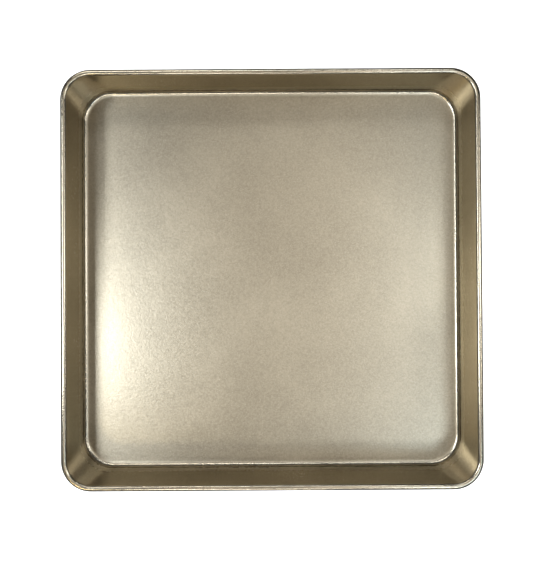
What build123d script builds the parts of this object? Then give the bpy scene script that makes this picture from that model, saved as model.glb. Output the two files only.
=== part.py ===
from build123d import *

import math
import os

# Square baking pan: one drawn and rolled sheet-steel shell, and the stiffening wire that its rim is rolled round.
# Millimetres. The origin is at the centre of the underside, +Z is up and the sides lie along X and Y.

# Driving dimensions
RIM_WIDTH = 286.0          # across the outside of the rolled rim, both ways
PAN_HEIGHT = 37.0          # underside of the floor to the top of the rim
SHEET = 0.7                # sheet thickness
CURL_DIAMETER = 4.4        # outside diameter of the rolled rim
RIM_CORNER_RADIUS = 20.5   # in plan, outside of the rolled rim
BASE_CORNER_RADIUS = 22.0  # in plan, inside the foot of the wall
DRAFT = 5.0                # degrees that each wall leans outwards
BASE_RADIUS = 3.5          # inside, where the walls turn into the floor
CURL_END = -126.0          # degrees round the curl where the sheet's edge stops, just short of the wall
WIRE_CLEARANCE = 0.08      # between the wire and the curl, all round
WIRE_GAP = 2.0             # between the wire's two butted ends

# Sizes that follow from them
CURL_RADIUS = CURL_DIAMETER / 2
CURL_BORE_RADIUS = CURL_RADIUS - SHEET
WIRE_RADIUS = CURL_BORE_RADIUS - WIRE_CLEARANCE
CURL_HEIGHT = PAN_HEIGHT - CURL_RADIUS
CURL_LINE_WIDTH = RIM_WIDTH - CURL_DIAMETER
CURL_LINE_RADIUS = RIM_CORNER_RADIUS - CURL_RADIUS
MOUTH_WIDTH = RIM_WIDTH - 2 * CURL_DIAMETER
MOUTH_RADIUS = RIM_CORNER_RADIUS - CURL_DIAMETER
LEAN = math.tan(math.radians(DRAFT))


def rounded_square(width, radius, height):
    """Face of a square with round corners, level at the given height."""
    return Plane.XY.offset(height) * RectangleRounded(width, width, radius)


def drafted_block(floor_height, outset):
    """Solid that fills the pan up to the curl's centre line, its walls moved outwards by outset.

    The walls lean out evenly, and the corner radius changes from the base's to the mouth's on the way up.
    """
    depth = CURL_HEIGHT - floor_height
    base_width = MOUTH_WIDTH + 2 * outset - 2 * depth * LEAN
    base = rounded_square(base_width, BASE_CORNER_RADIUS + outset, floor_height)
    mouth = rounded_square(MOUTH_WIDTH + 2 * outset, MOUTH_RADIUS + outset, CURL_HEIGHT)
    block = loft([base, mouth], ruled=True)
    base_edges = block.faces().sort_by(Axis.Z)[0].edges()
    return fillet(base_edges, BASE_RADIUS + outset)


def rim_path():
    """Closed centre line of the curl, a rounded square."""
    return rounded_square(CURL_LINE_WIDTH, CURL_LINE_RADIUS, CURL_HEIGHT).wire()


def rim_section(profile):
    """The profile, drawn with its centre on the curl's centre line where that line crosses the XZ plane.

    In the profile, X points outwards from the pan and Y points up.
    """
    place = Plane(origin=(CURL_LINE_WIDTH / 2, 0, CURL_HEIGHT), x_dir=(1, 0, 0), z_dir=(0, -1, 0))
    return place * profile


def curl_profile():
    """Section of the rolled sheet, from the wall's top over the wire and under it to the sheet's edge."""
    ring = Circle(CURL_RADIUS) - Circle(CURL_BORE_RADIUS)
    reach = CURL_DIAMETER
    opening = Polygon(
        (0, 0),
        (-reach, 0),
        (-reach, -reach),
        (reach * math.cos(math.radians(CURL_END)), reach * math.sin(math.radians(CURL_END))),
        align=None,
    )
    return ring - opening


def make_pan_shell():
    """The one-piece shell: floor, base radius, walls and rolled rim."""
    outside = drafted_block(0, SHEET)
    inside = drafted_block(SHEET, 0)
    tray = outside - inside
    curl = sweep(rim_section(curl_profile()), rim_path())
    return (tray + curl).clean()


def make_rim_wire():
    """The wire inside the rolled rim, bent to the rim's outline and butted at the middle of the back side."""
    ring = sweep(rim_section(Circle(WIRE_RADIUS)), rim_path())
    gap = Pos(0, CURL_LINE_WIDTH / 2, CURL_HEIGHT) * Box(WIRE_GAP, CURL_DIAMETER, CURL_DIAMETER)
    return ring - gap


os.makedirs("parts", exist_ok=True)
for node, solid in {"pan_shell": make_pan_shell(), "rim_wire": make_rim_wire()}.items():
    export_step(solid, f"parts/{node}.step")
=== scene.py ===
"""A one-piece square baking pan: its drawn and rolled shell, its rim wire, and a small studio round it."""

import math

import bmesh
import bpy
from bpy.props import FloatProperty, FloatVectorProperty, PointerProperty
from mathutils import Matrix, Vector


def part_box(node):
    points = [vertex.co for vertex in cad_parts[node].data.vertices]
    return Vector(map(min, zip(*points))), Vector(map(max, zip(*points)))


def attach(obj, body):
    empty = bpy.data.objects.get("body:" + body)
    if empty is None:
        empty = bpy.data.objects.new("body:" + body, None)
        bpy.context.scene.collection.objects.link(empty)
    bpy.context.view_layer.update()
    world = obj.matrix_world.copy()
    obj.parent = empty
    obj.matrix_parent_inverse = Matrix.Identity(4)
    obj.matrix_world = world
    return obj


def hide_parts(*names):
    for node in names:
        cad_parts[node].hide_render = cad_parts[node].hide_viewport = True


bl_info = {
    "name": "Square Baking Pan",
    "version": (1, 0, 0),
    "blender": (4, 5, 0),
    "location": "View3D > Sidebar > Baking Pan",
    "description": "Makes a champagne-coated square baking pan with a wire in its rolled rim",
    "category": "Object",
}

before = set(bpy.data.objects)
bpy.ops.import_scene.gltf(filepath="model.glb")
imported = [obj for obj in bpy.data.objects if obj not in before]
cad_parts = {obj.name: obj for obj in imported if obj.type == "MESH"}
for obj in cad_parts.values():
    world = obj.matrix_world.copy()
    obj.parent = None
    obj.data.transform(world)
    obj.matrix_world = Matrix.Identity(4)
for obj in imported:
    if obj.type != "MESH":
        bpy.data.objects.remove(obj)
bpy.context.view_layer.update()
PAN_LOW, PAN_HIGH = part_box("pan_shell")
RIM_WIDTH = PAN_HIGH.x - PAN_LOW.x
MM = 0.001

# How finely the shell is divided: the curve at the foot, the wall, the curl, and each corner in plan
FOOT_STEPS = 16
WALL_STEPS = 8
CURL_STEPS = 28
CORNER_STEPS = 24

# The strip round the floor's edge, the gap that a seam is joined across, and the angle of a sharp edge
FLOOR_MARGIN = 1.5 * MM
MERGE_DISTANCE = 0.01 * MM
SHARP_EDGE = math.radians(40)

# Where the film changes as it goes up the pan: each change starts and ends at these shares of the height
CURVE_STARTS = (0.021, 0.03)
CURVE_ENDS = (0.09, 0.2)
WALL_STARTS = (0.12, 0.35)
RIM_STARTS = (0.84, 0.90)

# How much smoother than the floor's film the rest is
WALL_POLISH = 0.10
CURVE_POLISH = 0.11
RIM_POLISH = 0.14

# Widths of the film's clouds and draw marks, and of the wire's die lines and patches of bloom
CLOUD = 70 * MM
DRAW_MARK = 1.4 * MM
DIE_LINE = 0.15 * MM
BLOOM = 12 * MM

# The room that the pan reflects: the angles in degrees over which its walls turn into ceiling and ground
CEILING_ABOVE = (8, 24)
GROUND_BELOW = (6, 12)

# The sides of the round backdrop, the share of its height that its middle stands at, and the lamp's width
BACKDROP_SIDES = 96
BACKDROP_MIDDLE = 0.45
FLOOR_LAMP_ANGLE = math.radians(25)

# The camera's place beside the pan's centre line, its tilt in degrees, and the lift of its frame
CAMERA_ASIDE = (-3.2 * MM, 12.3 * MM)
CAMERA_TILT = (0.65, 0.0, -0.34)
CAMERA_SHIFT = -0.061


# ---------------------------------------------------------------- settings


class PanShape(bpy.types.PropertyGroup):
    """Sizes of the pressed sheet."""

    sheet: FloatProperty(
        name="Sheet", description="Thickness of the steel sheet", default=0.7 * MM, unit="LENGTH")
    curl_diameter: FloatProperty(
        name="Curl", description="Outside diameter of the rolled rim", default=4.4 * MM, unit="LENGTH")
    curl_turn: FloatProperty(
        name="Curl turn", description="How far the sheet is rolled round the wire",
        default=math.radians(306), subtype="ANGLE")
    rim_corner: FloatProperty(
        name="Rim corner", description="Corner radius in plan, outside the rolled rim",
        default=20.5 * MM, unit="LENGTH")
    base_corner: FloatProperty(
        name="Base corner", description="Corner radius in plan, inside the foot of the wall",
        default=22 * MM, unit="LENGTH")
    draft: FloatProperty(
        name="Draft", description="How far each wall leans outwards", default=math.radians(5),
        subtype="ANGLE")
    base_radius: FloatProperty(
        name="Base radius", description="Inside radius where the walls turn into the floor",
        default=3.5 * MM, unit="LENGTH")


class PanLook(bpy.types.PropertyGroup):
    """Colours and texture of the coating and of the rim wire."""

    colour: FloatVectorProperty(
        name="Coating colour", description="Colour of the champagne film", default=(0.44, 0.384, 0.288),
        subtype="COLOR", min=0, max=1)
    fleck_colour: FloatVectorProperty(
        name="Fleck colour", description="Colour of the bright metal flecks in the film",
        default=(0.56, 0.51, 0.40), subtype="COLOR", min=0, max=1)
    roughness: FloatProperty(
        name="Coating roughness", description="How widely the film spreads its reflections", default=0.35,
        subtype="FACTOR", min=0, max=1)
    grain: FloatProperty(
        name="Grain", description="Width of the film's grain", default=1.3 * MM, unit="LENGTH")
    grain_depth: FloatProperty(
        name="Grain depth", description="Height of the film's grain", default=0.07 * MM, unit="LENGTH")
    wire_colour: FloatVectorProperty(
        name="Wire colour", description="Colour of the bare rim wire", default=(0.56, 0.57, 0.58),
        subtype="COLOR", min=0, max=1)


class PanStudio(bpy.types.PropertyGroup):
    """Sizes and strengths of the studio."""

    floor_width: FloatProperty(
        name="Floor width", description="Side of the square table top", default=8, unit="LENGTH")
    floor_colour: FloatVectorProperty(
        name="Floor colour", description="Colour of the table top", default=(0.9, 0.9, 0.89), subtype="COLOR",
        min=0, max=1)
    backdrop_height: FloatProperty(
        name="Backdrop height", description="Height of the pale wall round the table top", default=4,
        unit="LENGTH")
    floor_light: FloatProperty(
        name="Floor light", description="Strength of the lamp that lights the floor alone", default=2.4)
    light_height: FloatProperty(
        name="Light height", description="Height of the soft lights above the floor", default=0.75,
        unit="LENGTH")
    light_gain: FloatProperty(
        name="Light gain", description="Multiplies the brightness of every soft light", default=1.0)
    wall_light: FloatProperty(
        name="Wall light", description="Brightness of the room's walls, as the pan reflects them",
        default=0.25)
    below_light: FloatProperty(
        name="Below light", description="Brightness of the ground, as the pan reflects it", default=0.35)
    ceiling_light: FloatProperty(
        name="Ceiling light", description="Brightness of the dark ceiling, as the pan reflects it",
        default=0.02)
    lens: FloatProperty(
        name="Lens", description="Focal length of the camera", default=43.8, unit="CAMERA")
    camera_height: FloatProperty(
        name="Camera height", description="Height of the camera above the floor", default=0.5103,
        unit="LENGTH")


PLAIN = (1.0, 1.0, 1.0)
DAYLIGHT = (0.85, 0.92, 1.0)
SKYLIGHT = (0.66, 0.83, 1.0)
LAMPLIGHT = (1.0, 0.86, 0.55)
CREAM = (1.0, 0.93, 0.84)

# Each soft light's name, centre in x and y, width, depth, brightness and colour
SOFTBOXES = (
    ("key_left", -0.42, -0.14, 0.14, 0.14, 36, DAYLIGHT),
    ("side_left", -0.56, 0.04, 0.14, 0.50, 16, DAYLIGHT),
    ("front_left", -0.42, -0.56, 0.14, 0.14, 18, LAMPLIGHT),
    ("back_left", -0.42, 0.72, 0.25, 0.25, 8, PLAIN),
    ("front_mid", -0.20, -0.75, 0.16, 0.16, 14, PLAIN),
    ("back_mid", -0.20, 0.75, 0.16, 0.16, 14, PLAIN),
    ("over_left", -0.09, -0.04, 0.14, 0.70, 1.1, CREAM),
    ("over_right", 0.14, 0.00, 0.14, 0.70, 1.4, CREAM),
    ("overhead", 0.00, 0.00, 0.14, 0.70, 0.15, CREAM),
    ("right", 0.26, -0.03, 0.14, 0.60, 1.8, DAYLIGHT),
    ("side_right", 0.49, 0.00, 0.28, 0.14, 8, DAYLIGHT),
    ("corner_right", 0.42, -0.42, 0.14, 0.14, 12, SKYLIGHT),
    ("front_right", 0.28, -0.56, 0.14, 0.14, 18, DAYLIGHT),
    ("back_right", 0.26, 0.66, 0.18, 0.14, 11, DAYLIGHT),
    ("back", 0.00, 0.80, 0.26, 0.20, 9, DAYLIGHT),
    ("front", 0.00, -0.90, 0.30, 0.20, 11, PLAIN),
    ("rim_right", 0.90, 0.00, 0.20, 0.60, 8, PLAIN),
)


# ---------------------------------------------------------------- the shell


def chain_end(made):
    """The newest vertex of a spun or extruded chain."""
    return [item for item in made if isinstance(item, bmesh.types.BMVert)][-1]


def spin_vertex(bm, vertex, centre, angle, steps):
    """Draws an arc from a vertex about a centre line along Y, and returns the vertex at its end."""
    spun = bmesh.ops.spin(
        bm, geom=[vertex], cent=centre, axis=(0, -1, 0), angle=angle, steps=steps, use_merge=False)
    return chain_end(spun["geom_last"])


def rise_vertex(bm, vertex, to, steps):
    """Draws a straight run of the section from a vertex, in equal steps, and returns its end."""
    stride = (Vector(to) - vertex.co) / steps
    for _ in range(steps):
        grown = bmesh.ops.extrude_vert_indiv(bm, verts=[vertex])
        vertex = grown["verts"][0]
        bmesh.ops.translate(bm, verts=[vertex], vec=stride)
    return vertex


def shell_mesh(shape, mouth_height):
    """The pan's sheet: its cooking side drawn as a section, taken round the pan, then thickened."""
    curl_radius = shape.curl_diameter / 2
    curl_height = mouth_height - curl_radius
    axis = RIM_WIDTH / 2 - shape.rim_corner
    wall_top = shape.rim_corner - shape.curl_diameter
    lean = math.tan(shape.draft)
    depth = curl_height - shape.sheet
    foot_centre_height = shape.sheet + shape.base_radius
    foot_inset = depth * lean + shape.base_radius * math.tan((math.pi / 2 - shape.draft) / 2)
    foot = axis + wall_top - foot_inset

    bm = bmesh.new()
    vertex = bm.verts.new((foot, axis, shape.sheet))
    vertex = spin_vertex(bm, vertex, (foot, axis, foot_centre_height), math.pi / 2 - shape.draft, FOOT_STEPS)
    vertex = rise_vertex(bm, vertex, (axis + wall_top, axis, curl_height), WALL_STEPS)
    curl_centre = (axis + wall_top + curl_radius, axis, curl_height)
    spin_vertex(bm, vertex, curl_centre, -shape.curl_turn, CURL_STEPS)

    section = bm.verts[:] + bm.edges[:]
    corner = bmesh.ops.spin(
        bm, geom=section, cent=(axis, axis, 0), axis=(0, 0, 1), angle=math.pi / 2, steps=CORNER_STEPS,
        use_merge=False)
    last_edges = [item for item in corner["geom_last"] if isinstance(item, bmesh.types.BMEdge)]

    # The corner is opened out towards the foot, where its radius in plan is larger than the draft gives
    widening = shape.base_corner - (wall_top - depth * lean)
    for vertex in bm.verts:
        out_x, out_y = vertex.co.x - axis, vertex.co.y - axis
        reach = math.hypot(out_x, out_y)
        share = min(max((curl_height - vertex.co.z) / depth, 0), 1)
        vertex.co.x += widening * share * (out_x / reach - 1)
        vertex.co.y += widening * share * (out_y / reach - 1)

    side = bmesh.ops.extrude_edge_only(bm, edges=last_edges)
    side_vertices = [item for item in side["geom"] if isinstance(item, bmesh.types.BMVert)]
    for vertex in side_vertices:
        vertex.co.x = -vertex.co.x
    quarter = bm.verts[:] + bm.edges[:] + bm.faces[:]
    for turn in range(1, 4):
        copied = bmesh.ops.duplicate(bm, geom=quarter)
        copied_vertices = [item for item in copied["geom"] if isinstance(item, bmesh.types.BMVert)]
        quarter_turns = Matrix.Rotation(turn * math.pi / 2, 3, "Z")
        bmesh.ops.rotate(bm, verts=copied_vertices, cent=(0, 0, 0), matrix=quarter_turns)
    bmesh.ops.remove_doubles(bm, verts=bm.verts[:], dist=MERGE_DISTANCE)

    foot_edges = [edge for edge in bm.edges if edge.is_boundary and edge.verts[0].co.z < foot_centre_height]
    floor = bmesh.ops.contextual_create(bm, geom=foot_edges)["faces"]
    bmesh.ops.inset_region(bm, faces=floor, thickness=FLOOR_MARGIN, use_even_offset=True)
    bmesh.ops.recalc_face_normals(bm, faces=bm.faces[:])
    top = max(bm.faces, key=lambda face: face.calc_area())
    if top.normal.z < 0:
        bmesh.ops.reverse_faces(bm, faces=bm.faces[:])
    bmesh.ops.solidify(bm, geom=bm.faces[:], thickness=shape.sheet)
    for edge in bm.edges:
        edge.smooth = edge.calc_face_angle(0) < SHARP_EDGE
    for face in bm.faces:
        face.smooth = True
    mesh = bpy.data.meshes.new("baking_pan")
    bm.to_mesh(mesh)
    bm.free()
    return mesh


# ---------------------------------------------------------------- finishes


class Value:
    """A number, colour or place that varies over a surface. Sums and products of it add Math nodes."""

    def __init__(self, finish, socket):
        self.finish = finish
        self.socket = socket

    def __add__(self, other):
        return self.finish.maths("ADD", self, other)

    def __sub__(self, other):
        return self.finish.maths("SUBTRACT", self, other)

    def __rsub__(self, other):
        return self.finish.maths("SUBTRACT", other, self)

    def __mul__(self, other):
        return self.finish.maths("MULTIPLY", self, other)

    __radd__ = __add__
    __rmul__ = __mul__


class Finish:
    """One procedural finish, built node by node in a material or a world."""

    def __init__(self, owner):
        owner.use_nodes = True
        self.owner = owner
        self.tree = owner.node_tree
        self.tree.nodes.clear()

    def node(self, kind, settings=None, inputs=None, output=0):
        """Adds a node, sets it, feeds its sockets with values or links, and returns the output asked for."""
        made = self.tree.nodes.new(kind)
        for name, setting in (settings or {}).items():
            if name == "stops":
                for stop, (place, shade) in zip(made.color_ramp.elements, setting):
                    stop.position = place
                    stop.color = (shade, shade, shade, 1)
            else:
                setattr(made, name, setting)
        for name, value in (inputs or {}).items():
            if isinstance(value, Value):
                self.tree.links.new(value.socket, made.inputs[name])
            else:
                made.inputs[name].default_value = value
        return Value(self, made.outputs[output]) if made.outputs else None

    def maths(self, operation, first, second):
        return self.node("ShaderNodeMath", {"operation": operation}, {0: first, 1: second})

    def place(self, stretch=(1, 1, 1)):
        """Object coordinates in metres, stretched to draw a pattern out along an axis."""
        where = self.node("ShaderNodeTexCoord", output="Object")
        if stretch == (1, 1, 1):
            return where
        return self.node("ShaderNodeMapping", None, {"Vector": where, "Scale": stretch})

    def noise(self, where, size, detail=2.0, roughness=0.5):
        """Smooth noise from 0 to 1 with features about size metres across."""
        inputs = {"Vector": where, "Scale": 1 / size, "Detail": detail, "Roughness": roughness}
        return self.node("ShaderNodeTexNoise", None, inputs)

    def ramp(self, factor, low, high):
        """0 where factor is below low, 1 where it is above high, and a straight blend between them."""
        return self.node("ShaderNodeValToRGB", {"stops": [(low, 0), (high, 1)]}, {"Fac": factor})

    def blend(self, factor, first, second):
        """The colour that goes from first to second as factor goes from 0 to 1."""
        return self.node(
            "ShaderNodeMix", {"data_type": "RGBA"}, {0: factor, 6: first, 7: second}, output=2)

    def bump(self, height, depth):
        """The surface normal where a pattern of height 0 to 1 stands depth metres tall."""
        return self.node("ShaderNodeBump", None, {"Height": height, "Distance": depth})

    def surface(self, sockets):
        """Ends the finish in one Principled shader with these sockets."""
        shader = self.node("ShaderNodeBsdfPrincipled", None, sockets)
        self.node("ShaderNodeOutputMaterial", None, {"Surface": shader})
        return self.owner


def shade(colour, gain):
    """A colour made lighter or darker, with its alpha."""
    return (*(min(channel * gain, 1) for channel in colour[:3]), 1)


def champagne_coating(look):
    """Satin champagne film over the sheet: fine grain, bright flecks, faint clouds and draw marks."""
    film = Finish(bpy.data.materials.new("champagne_coating"))
    where = film.place()
    clouds = film.noise(where, CLOUD, detail=3)
    grain = film.noise(where, look.grain, detail=3, roughness=0.6)
    pebble = film.noise(where, 3.5 * look.grain, detail=1)
    flecks = film.ramp(film.noise(where, 0.6 * look.grain, detail=1), 0.58, 0.74)
    drawn = film.noise(film.place((1, 1, 0.03)), DRAW_MARK, detail=2)
    level = film.node("ShaderNodeSeparateXYZ", None, {"Vector": where}, output="Z") * (1 / PAN_HIGH.z)
    rim = film.ramp(level, *RIM_STARTS)
    walls = film.ramp(level, *WALL_STARTS) * (1 - rim)
    base_curve = film.ramp(level, *CURVE_STARTS) - film.ramp(level, *CURVE_ENDS)

    tone = film.ramp(0.6 * grain + 0.4 * clouds, 0.3, 0.7)
    film_colour = film.blend(tone, shade(look.colour, 0.78), shade(look.colour, 1.2))
    film_colour = film.blend(0.7 * flecks, film_colour, shade(look.fleck_colour, 1))
    relief = (1 - 0.75 * walls - 0.92 * rim) * (grain + 0.5 * pebble) + 0.2 * walls * drawn
    roughness = look.roughness + 0.10 * (grain - 0.5) + 0.05 * (clouds - 0.5)
    roughness = roughness - WALL_POLISH * walls - CURVE_POLISH * base_curve - RIM_POLISH * rim
    return film.surface({
        "Base Color": film_colour,
        "Metallic": 1.0,
        "Specular Tint": (0.2, 0.2, 0.2, 1),
        "Roughness": roughness,
        "Normal": film.bump(relief, look.grain_depth),
    })


def drawn_steel(look):
    """Bare drawn wire: bright steel with die lines along it and a thin grey bloom in patches."""
    steel = Finish(bpy.data.materials.new("drawn_steel"))
    die_lines = steel.noise(steel.place((0.02, 0.02, 1)), DIE_LINE, detail=2)
    bloom = steel.ramp(steel.noise(steel.place(), BLOOM, detail=4, roughness=0.6), 0.45, 0.7)
    steel_colour = steel.blend(0.6 * bloom, look.wire_colour[:] + (1,), shade(look.wire_colour, 0.6))
    return steel.surface({
        "Base Color": steel_colour,
        "Metallic": 1.0,
        "Roughness": 0.26 + 0.18 * bloom + 0.08 * die_lines,
        "Normal": steel.bump(die_lines, 0.01 * MM),
    })


def pale_floor(studio):
    """Matt pale table top with a trace of paper tooth."""
    paper = Finish(bpy.data.materials.new("pale_floor"))
    tooth = paper.noise(paper.place(), 0.6 * MM, detail=2)
    return paper.surface({
        "Base Color": studio.floor_colour[:] + (1,),
        "Roughness": 0.8,
        "Specular IOR Level": 0.2,
        "Normal": paper.bump(tooth, 0.02 * MM),
    })


def pale_wall(studio):
    """Matt pale backdrop that glows evenly, as if lit from below."""
    paint = Finish(bpy.data.materials.new("pale_wall"))
    wash = paint.noise(paint.place(), 3.0, detail=1)
    return paint.surface({
        "Base Color": paint.blend(wash, shade(studio.floor_colour, 0.98), shade(studio.floor_colour, 1)),
        "Roughness": 0.9,
        "Emission Color": studio.floor_colour[:] + (1,),
        "Emission Strength": 1.1,
    })


# ---------------------------------------------------------------- the studio


def show(name, data):
    """Puts new data in the scene as an object at the origin."""
    made = bpy.data.objects.new(name, data)
    bpy.context.scene.collection.objects.link(made)
    return made


def softbox(name, centre, size, brightness, colour):
    """A rectangular soft light that faces straight down and isn't seen itself. Brightness is its radiance."""
    lamp = bpy.data.lights.new(name, "AREA")
    lamp.shape = "RECTANGLE"
    lamp.size, lamp.size_y = size
    lamp.energy = math.pi * size[0] * size[1] * brightness
    lamp.color = colour
    box = show(name, lamp)
    box.location = centre
    box.visible_camera = False


def lay_floor(studio):
    """The pale floor, which the pan doesn't mirror, and a lamp from straight above that lights it alone."""
    bm = bmesh.new()
    bmesh.ops.create_grid(bm, x_segments=1, y_segments=1, size=studio.floor_width / 2)
    mesh = bpy.data.meshes.new("floor")
    bm.to_mesh(mesh)
    bm.free()
    mesh.materials.append(pale_floor(studio))
    floor = show("floor", mesh)
    floor.visible_glossy = False

    lamp = bpy.data.lights.new("floor_lamp", "SUN")
    lamp.energy = studio.floor_light
    lamp.angle = FLOOR_LAMP_ANGLE
    overhead = show("floor_lamp", lamp)
    receivers = bpy.data.collections.new("lit_by_floor_lamp")
    receivers.objects.link(floor)
    overhead.light_linking.receiver_collection = receivers


def raise_backdrop(studio):
    """A pale wall all round the table top, with its foot below it, which the pan doesn't mirror either."""
    bm = bmesh.new()
    bmesh.ops.create_cone(
        bm, cap_ends=False, segments=BACKDROP_SIDES, radius1=studio.floor_width / 2,
        radius2=studio.floor_width / 2, depth=studio.backdrop_height)
    bmesh.ops.translate(bm, verts=bm.verts[:], vec=(0, 0, BACKDROP_MIDDLE * studio.backdrop_height))
    bmesh.ops.reverse_faces(bm, faces=bm.faces[:])
    mesh = bpy.data.meshes.new("backdrop")
    bm.to_mesh(mesh)
    bm.free()
    mesh.materials.append(pale_wall(studio))
    backdrop = show("backdrop", mesh)
    backdrop.visible_glossy = False


def hang_softboxes(studio):
    """Soft lights round the camera, strongest on the left and faint overhead, where the camera stands."""
    height = studio.light_height
    for name, x, y, width, depth, brightness, colour in SOFTBOXES:
        softbox(name, (x, y, height), (width, depth), brightness * studio.light_gain, colour)


def set_room(studio):
    """The room that the pan reflects: grey walls round the horizon, a dark ceiling and a lighter ground."""
    room = Finish(bpy.data.worlds.new("studio_room"))
    bpy.context.scene.world = room.owner
    direction = room.node("ShaderNodeTexCoord", output="Generated")
    rise = room.node("ShaderNodeSeparateXYZ", None, {"Vector": direction}, output="Z")
    ceiling = room.ramp(rise, *(math.sin(math.radians(angle)) for angle in CEILING_ABOVE))
    room_colour = room.blend(ceiling, (studio.wall_light,) * 3 + (1,), (studio.ceiling_light,) * 3 + (1,))
    below = room.ramp(0 - rise, *(math.sin(math.radians(angle)) for angle in GROUND_BELOW))
    room_colour = room.blend(below, room_colour, (studio.below_light,) * 3 + (1,))
    background = room.node("ShaderNodeBackground", None, {"Color": room_colour})
    room.node("ShaderNodeOutputWorld", None, {"Surface": background})


def place_camera(studio):
    """A camera that looks down into the pan, a hair off square."""
    lens = bpy.data.cameras.new("camera")
    lens.lens = studio.lens
    lens.shift_y = CAMERA_SHIFT
    lens.clip_start = 10 * MM
    camera = show("camera", lens)
    camera.location = (*CAMERA_ASIDE, studio.camera_height)
    camera.rotation_euler = [math.radians(turn) for turn in CAMERA_TILT]
    bpy.context.scene.camera = camera


# ---------------------------------------------------------------- operators


class MakePanShell(bpy.types.Operator):
    """Makes the pressed and rolled sheet in its champagne coating, in place of the plain CAD shell"""

    bl_idname = "baking_pan.make_shell"
    bl_label = "Pan Shell"

    def execute(self, context):
        pan = show("baking_pan", shell_mesh(context.scene.pan_shape, PAN_HIGH.z))
        pan.data.materials.append(champagne_coating(context.scene.pan_look))
        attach(pan, "root")
        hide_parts("pan_shell")
        return {"FINISHED"}


class FinishRimWire(bpy.types.Operator):
    """Gives the wire inside the rolled rim its drawn steel finish"""

    bl_idname = "baking_pan.finish_rim_wire"
    bl_label = "Rim Wire"

    def execute(self, context):
        steel = drawn_steel(context.scene.pan_look)
        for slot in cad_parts["rim_wire"].material_slots:
            slot.material = steel
        return {"FINISHED"}


class SetUpStudio(bpy.types.Operator):
    """Lays the floor, raises the backdrop, hangs the soft lights, sets the room and places the camera"""

    bl_idname = "baking_pan.set_up_studio"
    bl_label = "Studio"

    def execute(self, context):
        studio = context.scene.pan_studio
        lay_floor(studio)
        raise_backdrop(studio)
        hang_softboxes(studio)
        set_room(studio)
        place_camera(studio)
        context.scene.view_settings.view_transform = "Standard"
        return {"FINISHED"}


class BAKINGPAN_PT_maker(bpy.types.Panel):
    """The pan's settings and the steps that make it"""

    bl_idname = "BAKINGPAN_PT_maker"
    bl_label = "Baking Pan"
    bl_space_type = "VIEW_3D"
    bl_region_type = "UI"
    bl_category = "Baking Pan"

    def draw(self, context):
        for name, group in GROUPS.items():
            box = self.layout.box()
            for setting in group.__annotations__:
                box.prop(getattr(context.scene, name), setting)
        for operator in OPERATORS:
            self.layout.operator(operator.bl_idname)


GROUPS = {"pan_shape": PanShape, "pan_look": PanLook, "pan_studio": PanStudio}
OPERATORS = (MakePanShell, FinishRimWire, SetUpStudio)


def register():
    for cls in (*GROUPS.values(), *OPERATORS, BAKINGPAN_PT_maker):
        bpy.utils.register_class(cls)
    for name, group in GROUPS.items():
        setattr(bpy.types.Scene, name, PointerProperty(type=group))


def unregister():
    for name in GROUPS:
        delattr(bpy.types.Scene, name)
    for cls in (BAKINGPAN_PT_maker, *OPERATORS, *GROUPS.values()):
        bpy.utils.unregister_class(cls)


def main():
    """Makes the pan and its studio."""
    register()
    bpy.ops.baking_pan.make_shell()
    bpy.ops.baking_pan.finish_rim_wire()
    bpy.ops.baking_pan.set_up_studio()
    bpy.context.view_layer.update()


if __name__ == "__main__":
    main()
